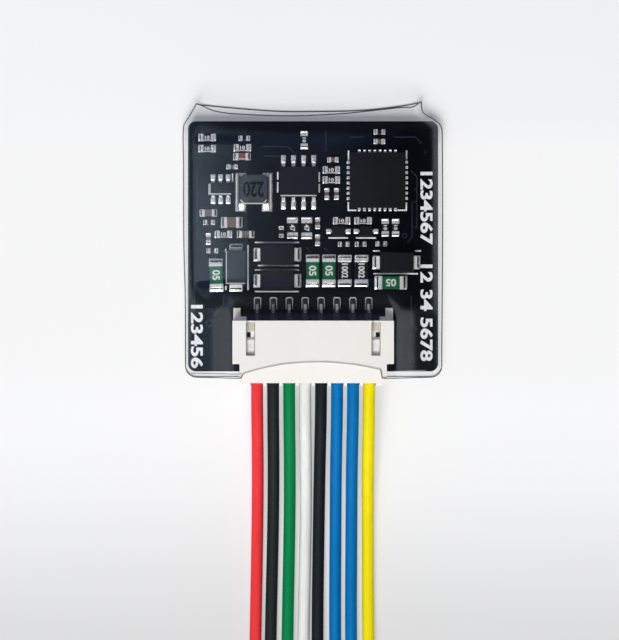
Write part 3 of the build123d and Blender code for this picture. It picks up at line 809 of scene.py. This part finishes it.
def longer_along(axis, low, high):
    """Whether a box is longer along this axis, 0 or 1, than along the other."""
    return high[axis] - low[axis] > high[1 - axis] - low[1 - axis]


def make_codes():
    pale, dark = bmesh.new(), bmesh.new()
    for node_name, digits, length, height, turn in chip_codes:
        for low, high in islands(node_name):
            turned = -90 if longer_along(1, low, high) else turn
            add_number(pale, digits, middle_of(low, high), length, height, turned, high[2], code_lift)
    low, high = islands("inductor_body")[0]
    add_number(dark, "220", middle_of(low, high), 2.6, 2, 180, high[2], code_lift)
    add_piece("chip_codes", pale, "code")
    add_piece("inductor_code", dark, "dark_code")


# Painted highlights: bright lines on the top of a body, standing for moulded edges that catch the light
painted_edge_highlights = {
    "transceiver_body": [(-4.1, 6.31), (0.45, 6.31)],
    "regulator_body": [(-12.96, 7.86), (-12.96, 6.54), (-10.3, 6.54)],
    "inductor_body": [(-9.12, 5.76), (-8.68, 5.3), (-6.24, 5.3), (-5.8, 5.76)],
}
edge_width, thin_edge, clip_edge, edge_sink = 0.13, 0.1, 0.14, 0.03
# Chips that lie along X and get a painted highlight along their lower edge
chips_with_painted_edge = ["resistor_0603_bodies", "capacitor_0402_bodies", "bead_body"]
# How far the lines keep from the sides: the pale diode's, the chips', and the inductor clips' sides and ends
diode_inset, chip_inset, clip_inset, clip_short = 0.14, 0.06, 0.13, 0.1


def make_painted_edge_highlights():
    bm = bmesh.new()

    def add_highlight_line(line, width, roof):
        add_stroke(bm, line, width, roof, code_lift, edge_sink)

    for node_name, line in painted_edge_highlights.items():
        add_highlight_line(line, edge_width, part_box(node_name)[1].z / MM)
    low, high = islands("power_diode_1")[0]
    x, y = low[0] + diode_inset, low[1] + diode_inset
    add_highlight_line([(x, high[1] - diode_inset), (x, y), (high[0] - diode_inset, y)], thin_edge, high[2])
    for node_name in chips_with_painted_edge:
        for low, high in islands(node_name):
            if longer_along(0, low, high):
                y = low[1] + chip_inset
                add_highlight_line([(low[0], y), (high[0], y)], thin_edge, high[2])
    body_right = islands("inductor_body")[0][1][0]
    for low, high in islands("inductor_leads"):
        x = high[0] - clip_inset if high[0] > body_right else low[0] + clip_inset
        add_highlight_line([(x, low[1] + clip_short), (x, high[1] - clip_short)], clip_edge, high[2])
    add_piece("package_edge_highlights", bm, "edge")


# The two slots in the shell's top: from the middle outwards, and from their front end to the shell's back
slot_inner, slot_outer, slot_front, slot_back, slot_wall = 7.27, 8.23, -13.65, -9.6, -10.7
slot_floor = top + 4.6
slot_lift = 0.015
slot_edge_out, slot_edge_width, slot_floor_in = 0.04, 0.09, 0.03


def make_slot_shades():
    """The slots' edges and the floor at their back ends, painted darker: painted shade."""
    edges, floors = bmesh.new(), bmesh.new()
    for side in (-1, 1):
        inner, outer = side * (slot_inner - slot_edge_out), side * (slot_outer + slot_edge_out)
        front = slot_front - slot_edge_out
        line = [(inner, slot_back), (inner, front), (outer, front), (outer, slot_back)]
        add_stroke(edges, line, slot_edge_width, shell_top, slot_lift, sink=0.02)
        inner, outer = side * (slot_inner + slot_floor_in), side * (slot_outer - slot_floor_in)
        corners = [(inner, slot_wall), (outer, slot_wall), (outer, slot_back), (inner, slot_back)]
        add_prism(floors, corners[::side], slot_floor, slot_lift)
    add_piece("shell_slot_edge_shades", edges, "slot_edge_shade")
    add_piece("shell_slot_floor_shades", floors, "slot_floor")


make_codes()
make_painted_edge_highlights()
make_slot_shades()


# Copper under the solder mask: runs with slanted corners, and the rings of plated holes

covered_runs = [
    [(-6.3, 12.6), (-3.2, 12.6), (-2.2, 11.6)], [(-6.3, 11.4), (-4.2, 11.4)], [(1.4, -0.2), (2.6, -1.4)],
    [(-0.9, -0.1), (-0.1, -0.9)], [(12.3, 9.6), (13.1, 8.8), (13.1, 2.2)],
    [(12.5, 5.6), (12.5, 1.2), (11.9, 0.4)], [(-14.6, 9.5), (-14.6, 1.2), (-14.1, 0.7)],
    [(4.6, 13.8), (6.4, 13.8)], [(10.2, 13.8), (12.9, 13.8), (13.6, 13.1)],
    [(-11.3, -6.1), (-11.3, -7.4), (-12.4, -8.5)], [(1.6, 12.2), (1.6, 14.6)], [(-15, -2), (-15, -9.3)],
    [(12.4, -6.3), (12.4, -9.8), (13, -10.4)], [(-9.6, -6.4), (-8.3, -7.7)], [(9.4, -6.2), (10.9, -7.7)],
]
run_width = 0.18
run_rise = 0.012
# Places and radii of the rings
rings = [
    (-2.2, 11.6, 0.2), (-4.2, 11.4, 0.2), (2.6, -1.4, 0.18), (13.6, 13.1, 0.2), (-14.1, 0.7, 0.2),
    (-12.4, -8.5, 0.2), (1.6, 12.2, 0.2), (13, -10.4, 0.2), (12.87, 7.2, 0.16), (12.87, 5.65, 0.16),
    (12.87, 2.4, 0.16), (14.2, 11.9, 0.2), (11.57, 1.34, 0.34), (-13.1, -9.7, 0.5), (12.4, -14.3, 0.45),
    (-13, -8.1, 0.28),
]
ring_sides = 20


def add_ring(bm, x, y, radius):
    hole = radius - (0.35 * radius + 0.03)
    circles = []
    for reach, z in ((radius, -sunk), (radius, run_rise), (hole, run_rise), (hole, -sunk)):
        angles = [2 * pi * i / ring_sides for i in range(ring_sides)]
        circles.append([bm.verts.new(spot(x + reach * cos(a), y + reach * sin(a), top + z)) for a in angles])
    for a, b in zip(circles, circles[1:] + circles[:1]):
        join_rings(bm, a, b)


def make_covered_copper():
    bm = bmesh.new()
    for run in covered_runs:
        add_stroke(bm, run, run_width, top, run_rise)
    for ring in rings:
        add_ring(bm, *ring)
    add_piece("covered_copper", bm, "trace")


make_covered_copper()


# Solder: a wetted skin on every bare land, drawn up against the terminal that stands on it

solder_steps = 9
solder_margin = 0.14  # where it thins out, inside the land's edge
solder_film = 0.05  # how thick it lies away from the terminal
# How far it climbs each terminal, as a share of the terminal's height
climbs = by_name({
    0.6: chip_ends, 0.25: "power_diode_tabs", 0.5: "inductor_leads", 0.8: "controller_leads",
    0.12: "transceiver_leads regulator_leads signal_diode_leads", 0.06: "header_contacts",
    0.3: "header_solder_tabs",
})
# Width of the dark seam between a terminal and the solder outside it: painted shade of the valley there, with
# flux residue
seam_widths = by_name({
    0.11: "resistor_0402_ends capacitor_0402_ends", 0.16: "resistor_0805_ends capacitor_0805_ends",
    0.15: "resistor_0603_ends capacitor_0603_ends bead_ends",
    0.17: "resistor_1206_ends fuse_1206_ends power_diode_tabs",
})
# The seam starts this share inside the terminal's side, waves between two shares of its width away from it,
# and stands this much above the solder
seam_end, seam_wave, seam_steps, seam_rise = 0.06, (0.45, 0.75), 6, 0.07
least_overlap = 0.02  # of a terminal and the land that it stands on


def add_solder(bm, land, terminal, rise):
    """A height field over one land: full height beside the terminal, thinning out to the land's edge."""
    (x0, y0, _), (x1, y1, _) = land
    (tx0, ty0, _), (tx1, ty1, _) = terminal
    reach = max(tx0 - x0, x1 - tx1, ty0 - y0, y1 - ty1, 0.1)
    grid = []
    for i in range(solder_steps + 1):
        row = []
        for j in range(solder_steps + 1):
            x, y = mix(x0, x1, i / solder_steps), mix(y0, y1, j / solder_steps)
            away = min(hypot(max(tx0 - x, x - tx1, 0), max(ty0 - y, y - ty1, 0)) / reach, 1)
            skirt = min(min(x - x0, x1 - x, y - y0, y1 - y) / solder_margin, 1)
            height = (solder_film + rise * (1 - away) ** 2) * sqrt(max(1 - (1 - skirt) ** 2, 0))
            row.append(bm.verts.new(spot(x, y, land_top - sunk + height)))
        grid.append(row)
    for a, b in zip(grid, grid[1:]):
        for j in range(solder_steps):
            bm.faces.new((a[j], b[j], b[j + 1], a[j + 1]))
    inner = range(1, solder_steps)
    rim = grid[0] + [grid[i][-1] for i in inner] + grid[-1][::-1] + [grid[i][0] for i in reversed(inner)]
    bm.faces.new(rim)


def add_seam(bm, land, terminal, width, rise):
    """A wavy dark seam along the side of the terminal where its land reaches out farthest: painted shade,
    with flux residue.
    """
    (x0, y0, _), (x1, y1, _) = land
    (tx0, ty0, _), (tx1, ty1, _) = terminal
    sides = [(x1 - tx1, (tx1, ty0), (tx1, ty1), (1, 0)), (tx0 - x0, (tx0, ty0), (tx0, ty1), (-1, 0)),
             (y1 - ty1, (tx0, ty1), (tx1, ty1), (0, 1)), (ty0 - y0, (tx0, ty0), (tx1, ty0), (0, -1))]
    _, start, end, out = max(sides)
    line = []
    for i in range(seam_steps + 1):
        share = mix(seam_end, 1 - seam_end, i / seam_steps)
        away = width * seam_wave[i % 2]
        line.append(tuple(mix(start[axis], end[axis], share) + away * out[axis] for axis in (0, 1)))
    add_stroke(bm, line, width, land_top, rise + seam_rise, sink=0)


def make_solder():
    bright, shaded_skins, seams = bmesh.new(), bmesh.new(), bmesh.new()
    standing = []
    for node_name, share in climbs.items():
        # The contacts' skins take the contacts' painted shade
        skins = shaded_skins if node_name == "header_contacts" else bright
        for low, high in islands(node_name):
            standing.append((low, high, share * (high[2] - land_top), seam_widths.get(node_name), skins))
    for land in islands("solder_lands"):
        low, high = land
        for t_low, t_high, rise, seam_width, skins in standing:
            if all(min(high[i], t_high[i]) - max(low[i], t_low[i]) > least_overlap for i in (0, 1)):
                add_solder(skins, land, (t_low, t_high), rise)
                if seam_width:
                    add_seam(seams, land, (t_low, t_high), seam_width, rise)
                break
    add_piece("solder_skins", bright, "solder", smooth=70)
    add_piece("contact_skins", shaded_skins, "contact_shade", smooth=70)
    add_piece("solder_seam_shades", seams, "epoxy")


make_solder()


# The header contacts' own solder: a bright rim round each foot, and a bead that climbs the leg behind it.
# Both are painted pale: partly painted highlight, standing for the solder's glints in the connector's shadow

rim_half, rim_end, rim_start, rim_width, rim_corner, rim_rise = 0.38, -6.5, -7.95, 0.13, 0.12, 0.09
# The bead's ridge, as (y, z)
bead_ridge = [(-6.96, 2.36), (-7.08, 2.5), (-7.45, 2.82), (-7.82, 3.17), (-8.14, 3.52), (-8.26, 4),
              (-8.36, 4.5)]
bead_half, bead_sink = 0.17, 0.05


def add_bead(bm, x):
    rows = []
    for y, z in bead_ridge:
        corners = [(x - bead_half, y, z - bead_sink), (x, y, z), (x + bead_half, y, z - bead_sink),
                   (x, y - bead_sink, z - 2 * bead_sink)]
        rows.append([bm.verts.new(spot(*corner)) for corner in corners])
    for a, b in zip(rows, rows[1:]):
        join_rings(bm, a, b)
    bm.faces.new(rows[0])
    bm.faces.new(rows[-1][::-1])


def make_contact_solder():
    rims, beads = bmesh.new(), bmesh.new()
    for low, high in islands("header_contacts"):
        x = middle_of(low, high)[0]
        rim = [(-rim_half, rim_start), (-rim_half, rim_end - rim_corner), (-rim_half + rim_corner, rim_end),
               (rim_half - rim_corner, rim_end), (rim_half, rim_end - rim_corner), (rim_half, rim_start)]
        add_stroke(rims, [(x + across, y) for across, y in rim], rim_width, land_top, rim_rise, sink=0)
        add_bead(beads, x)
    add_piece("contact_solder", rims, "solder_painted_bright")
    add_piece("contact_beads", beads, "bead_solder")


make_contact_solder()


# Floor and light

floor_white = 0.93
floor_reach = 3  # metres
floor_gap = 0.02  # the floor lies this much below the sleeve's underside, so that the two never share a plane
# Share of the floor's own white that the camera sees, which keeps its shadows pale: beside the board, under
# the leads, and as a share of the first, past the board's far edge
glow_by_board, glow_by_leads, glow_past_board = 0.72, 0.45, 0.25
# The floor grows dimmer towards the far ends of the leads, over this stretch and down to this share: a
# painted falloff of the light
floor_dims_from, floor_dims_to, floor_dimmed = -20, -58, 0.71
# Away from the object, over this range of distances, the floor turns even: its white and its glow out there
floor_even_from, floor_even_to, even_white, even_glow = 60, 260, 0.9, 0.85


def make_floor():
    mesh = bpy.data.meshes.new("floor")
    ends = (-floor_reach, floor_reach)
    mesh.from_pydata([(x, y, -floor_gap * MM) for y in ends for x in ends], [], [(0, 1, 3, 2)])
    floor = new_thing("floor", mesh)
    material, node, shader, output = node_material("pale_floor")
    place = node("ShaderNodeTexCoord").outputs["Object"]
    y = node("ShaderNodeSeparateXYZ", place).outputs["Y"]
    distance = node("ShaderNodeVectorMath", place, operation="LENGTH").outputs["Value"]
    away = spread(node, distance, floor_even_from * MM, floor_even_to * MM)

    def along_y(start, end, at_start, at_end):
        return spread(node, y, spot(0, start, 0).y, spot(0, end, 0).y, at_start, at_end)

    def evened(value, even):
        return node("ShaderNodeMix", Factor=away, A=value, B=even).outputs["Result"]

    falloff = evened(along_y(floor_dims_from, floor_dims_to, 1, floor_dimmed), even_white)
    tone = ramp(node, place_noise(node, 60, 2), (0.3, (0.93, 0.93, 0.935)), (0.7, (0.955, 0.955, 0.96)))
    dress_shader(node, shader, mixed(node, 1, tone, falloff, "MULTIPLY"), 0.9, 0.1)
    glow = node("ShaderNodeEmission", Color=(floor_white, floor_white, floor_white), Strength=falloff)
    rays = node("ShaderNodeLightPath").outputs
    seen = reckon(node, "MAXIMUM", rays["Is Camera Ray"], rays["Is Glossy Ray"])
    seen = reckon(node, "MAXIMUM", seen, rays["Is Transmission Ray"])
    near_glow = reckon(node, "MULTIPLY", along_y(-14, -20, glow_by_board, glow_by_leads),
                       along_y(12, 17, 1, glow_past_board))
    share = reckon(node, "MULTIPLY", seen, evened(near_glow, even_glow))
    both = node("ShaderNodeMixShader", share, shader.outputs["BSDF"], glow.outputs["Emission"])
    set_node(output, Surface=both.outputs["Shader"])
    mesh.materials.append(material)


def make_lamp():
    """A soft lamp past the far ends of the leads, aimed at the object. Its size and place are in metres."""
    data = bpy.data.lights.new("key", "AREA")
    data.size = 0.4
    data.energy = 4.4
    data.color = (1, 0.985, 0.955)
    lamp = new_thing("key", data)
    lamp.location = (-0.07, -0.38, 0.52)
    lamp.rotation_euler = (-lamp.location).to_track_quat("-Z", "Y").to_euler()


def make_world():
    """A studio that is pale near the horizon and dim overhead, with a window high on its left side."""
    world = bpy.data.worlds.new("studio")
    bpy.context.scene.world = world
    world.use_nodes = True
    node = node_maker(world.node_tree)
    x, y, z = node("ShaderNodeSeparateXYZ", node("ShaderNodeTexCoord").outputs["Generated"]).outputs

    def shares(value, *stops):
        return ramp(node, value, *((position, (share, share, share)) for position, share in stops))

    left = ramp(node, z, (0, (1.15, 1.2, 1.25)), (0.08, (0.85, 0.92, 1)), (0.18, (0.42, 0.48, 0.56)),
                (0.3, (0.22, 0.25, 0.31)), (0.6, (0.17, 0.2, 0.26)), (0.8, (1.1, 1.16, 1.27)),
                (1, (1.1, 1.16, 1.27)))
    right = ramp(node, z, (0, (1, 1, 1)), (0.08, (0.62, 0.63, 0.65)), (0.17, (0.16, 0.175, 0.2)),
                 (0.31, (0.035, 0.04, 0.052)), (0.47, (0.02, 0.024, 0.032)), (0.8, (0.008, 0.011, 0.02)),
                 (1, (0.005, 0.008, 0.016)))
    dim = ramp(node, z, (0, (1.2, 1.2, 1.2)), (0.04, (0.9, 0.9, 0.9)), (0.14, (0.12, 0.12, 0.13)),
               (0.5, (0.045, 0.048, 0.058)), (0.8, (0.012, 0.015, 0.022)), (1, (0.005, 0.008, 0.016)))
    # How much of the window is seen, from a place right of overhead to a place well left of it
    seen = shares(spread(node, x, 0.15, -0.3, how="LINEAR"), (0.06, 0), (0.28, 0.09), (0.44, 0.11),
                  (0.55, 0.18), (0.67, 0.35), (0.76, 0.55), (0.92, 1))
    window = mixed(node, seen, mixed(node, spread(node, x, 0.3, 0.8), dim, right), left)
    # Towards the far side of the room the window ends, and the ceiling is dim and bluish
    ceiling = ramp(node, spread(node, x, 0.04, 0.14), (0, (0.14, 0.17, 0.29)), (1, (0.008, 0.01, 0.02)))
    beyond = shares(y, (0.07, 0), (0.105, 1), (0.5, 1), (0.75, 0))
    sky = mixed(node, beyond, window, mixed(node, spread(node, z, 0.6, 0.85), window, ceiling))
    set_node(world.node_tree.nodes["Background"], Color=sky)


make_floor()
make_world()
make_lamp()
bpy.context.scene.view_settings.view_transform = "Standard"
